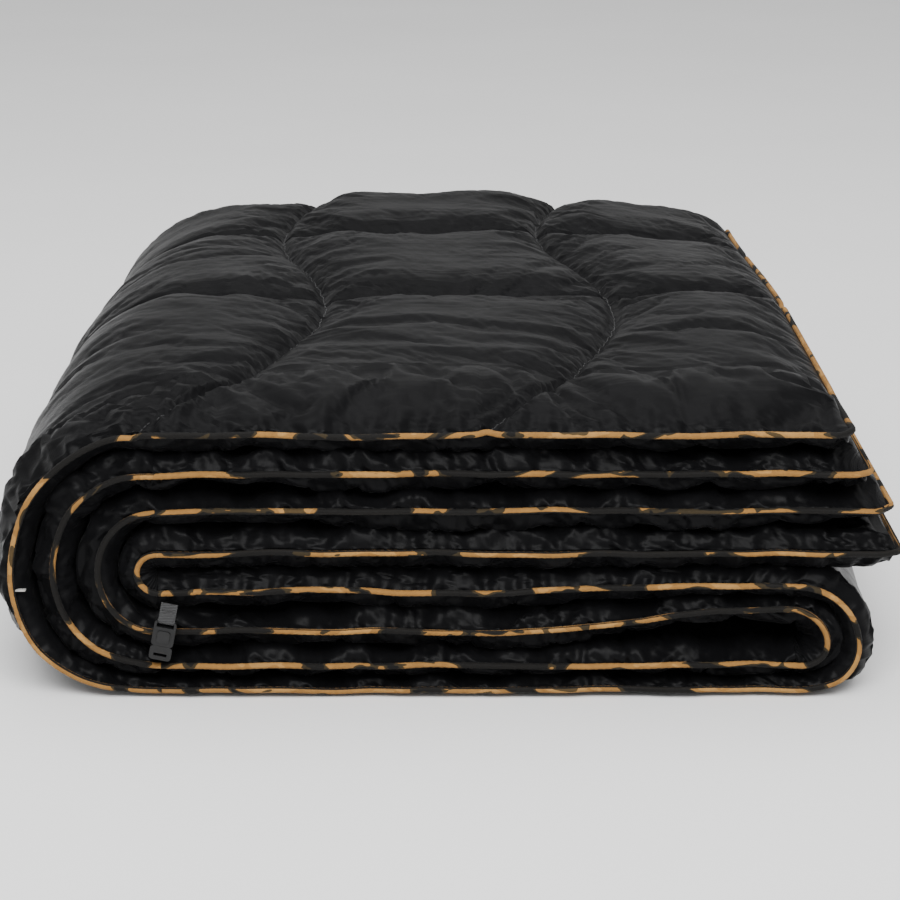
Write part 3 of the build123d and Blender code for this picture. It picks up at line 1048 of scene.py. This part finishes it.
thread = plain_thread("quilting_thread", (0.012, 0.012, 0.013))
top_thread = stitches("top_stitches", *seam_parts(FROM["top"], TO["top"]))
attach(dress(top_thread, thread), "upper_half")
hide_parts("upper_quilting_thread")
fold_thread = stitches("outer_fold_stitches", *seam_parts(FROM["outer_fold"], TO["outer_fold"]))
bend(dress(fold_thread, thread))


def piping(name, path, column, leaf):
    """Piping whose plain side faces the pair's middle, and whose print runs on from piece to piece."""
    inward = (-leaf * normal_x[column], 0.0, -leaf * normal_z[column])
    start = distance[column] + (0 if leaf > 0 else PRINT_SHIFT)
    return dress(piping_tube(name, path, inward, start), tape)


for name, columns, column in (
    ("top_piping", (FROM["top"], TO["top"]), FROM["top"]),
    ("second_piping", (FROM["second"], TO["second"]), TO["second"]),
):
    line = piping(name, free_end_piping(quilt, columns, column), column, 1)
    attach(line, "upper_half")
    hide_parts("upper_piping_tape", "upper_piping_cord")

for name, tip, leaf in (("lower_piping_one", TIP_ONE, 1), ("lower_piping_two", TIP_TWO, -1)):
    path = piping_path(edge_line(quilt, tip, FROM["bottom"], TO["third"]))
    line = piping(name, path, FROM["bottom"], leaf)
    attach(line, "lower_half")
    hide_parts("lower_piping_tape", "lower_piping_cord")

for fold, pitches in (("outer_fold", 3), ("inner_fold", 1)):
    for name, tip, leaf in (("one", TIP_ONE, 1), ("two", TIP_TWO, -1)):
        path = piping_path(edge_line(quilt, tip, FROM[fold], TO[fold]))
        line = piping(fold + "_piping_" + name, path, FROM[fold], leaf)
        bend(line)
        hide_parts(fold + "_piping_tape", fold + "_piping_cord")


def box_piece(name, low, high):
    """A plain box between two corners."""
    corners = [(x, y, z) for x in (low.x, high.x) for y in (low.y, high.y) for z in (low.z, high.z)]
    faces = np.array([(0, 1, 3, 2), (4, 6, 7, 5), (0, 4, 5, 1), (2, 3, 7, 6), (0, 2, 6, 4), (1, 5, 7, 3)])
    return link(name, mesh_from(name, np.array(corners), faces))


def beside_edge(low, high):
    """Bring a box at the front face beside leaf one's piping, at the same height."""
    fold = quilt[FROM["outer_fold"]:TO["outer_fold"] + 1, TIP_ONE]
    nearest = fold[np.argmin(np.abs(fold[:, 2] - (low.z + high.z) / 2))]
    shift = Vector((nearest[0] + PIPING_RADIUS - low.x, 0, 0))
    return low + shift, high + shift


tag = dress(box_piece("sewn_tag", *beside_edge(*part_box("blank_tag"))), tag_tape())
bend(tag)
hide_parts("blank_tag")


def coil_spring():
    """The button's spring, copied from its frame part and carried with the buckle. The real spring flattens
    against the plug's tongue as the button is pressed; this copy keeps its shape.
    """
    cad = frame["nodes"]["button_spring"]
    coil = link("coil_spring", cad.data.copy())
    coil.matrix_world = cad.matrix_world
    dress(coil, spring_wire())
    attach(coil, "buckle")
    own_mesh(coil)
    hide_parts("button_spring")


coil_spring()

hard_materials = {
    "buckle_socket": moulded_plastic("buckle_plastic", 0.004, 0.008, 0.38),
    "buckle_plug": moulded_plastic("plug_plastic", 0.004, 0.009, 0.38),
    "push_button": moulded_plastic("button_plastic", 0.006, 0.012, 0.34),
    "webbing_tab": ribbed_webbing(),
    "tack_stitches": plain_thread("tack_thread", (0.03, 0.03, 0.03)),
}
for node, material in hard_materials.items():
    part = frame["nodes"][node]
    part.data.materials.clear()
    part.data.materials.append(material)


# --- Stage ------------------------------------------------------------------------------------------
def area_light(name, place, aim, size, power):
    """A soft rectangular lamp that faces aim."""
    data = bpy.data.lights.new(name, "AREA")
    data.shape = "RECTANGLE"
    data.size, data.size_y = size
    data.energy = power
    lamp = bpy.data.objects.new(name, data)
    lamp.location = place
    lamp.rotation_euler = (Vector(aim) - Vector(place)).to_track_quat("-Z", "Y").to_euler()
    bpy.context.scene.collection.objects.link(lamp)
    return lamp


def studio_world():
    """A soft room: brightest high at the front, dimmest low at the back."""
    world = bpy.data.worlds.new("studio")
    world.use_nodes = True
    tree = world.node_tree
    place = tree.nodes.new("ShaderNodeTexCoord")
    toward = tree.nodes.new("ShaderNodeVectorMath")
    toward.operation = "DOT_PRODUCT"
    toward.inputs[1].default_value = (0.0, -0.6, 0.8)
    ramp = tree.nodes.new("ShaderNodeValToRGB")
    ramp.color_ramp.elements[0].position = 0.0
    ramp.color_ramp.elements[0].color = ROOM_LOW
    ramp.color_ramp.elements[1].position = 0.9
    ramp.color_ramp.elements[1].color = ROOM_HIGH
    tree.links.new(place.outputs["Generated"], toward.inputs[0])
    tree.links.new(toward.outputs["Value"], ramp.inputs["Fac"])
    tree.links.new(ramp.outputs["Color"], tree.nodes["Background"].inputs["Color"])
    return world


def build_stage():
    """A wide pale floor, two soft lamps and the room's light."""
    n = Nodes("floor")
    place = n.add("ShaderNodeTexCoord").outputs["Object"]
    tone = n.noise(place, 3.0)
    floor_material = n.finish(n.ramp(tone, [(0.2, (0.86,) * 3), (0.8, (0.90,) * 3)]), 0.7)
    bpy.ops.mesh.primitive_plane_add(size=60)
    floor = bpy.context.object
    floor.name = "floor"
    floor.data.materials.append(floor_material)
    lights = [
        area_light("front_high", (0.1, -2.0, 2.4), (0.0, -0.2, 0.1), (2.6, 1.4), 130.0),
        area_light("overhead", (-0.4, 0.4, 2.6), (0.0, 0.0, 0.1), (2.4, 1.6), 26.0),
    ]
    bpy.context.scene.world = studio_world()


def build_camera():
    """A long lens in front of the folds, looking a little down."""
    data = bpy.data.cameras.new("camera")
    data.lens = LENS
    camera = bpy.data.objects.new("camera", data)
    camera.location = (0.0, EDGE_Y - CAMERA_AWAY, CAMERA_HEIGHT)
    camera.rotation_euler = (math.radians(90 - LOOKS_DOWN), 0.0, 0.0)
    bpy.context.scene.collection.objects.link(camera)
    bpy.context.scene.camera = camera


build_stage()
build_camera()
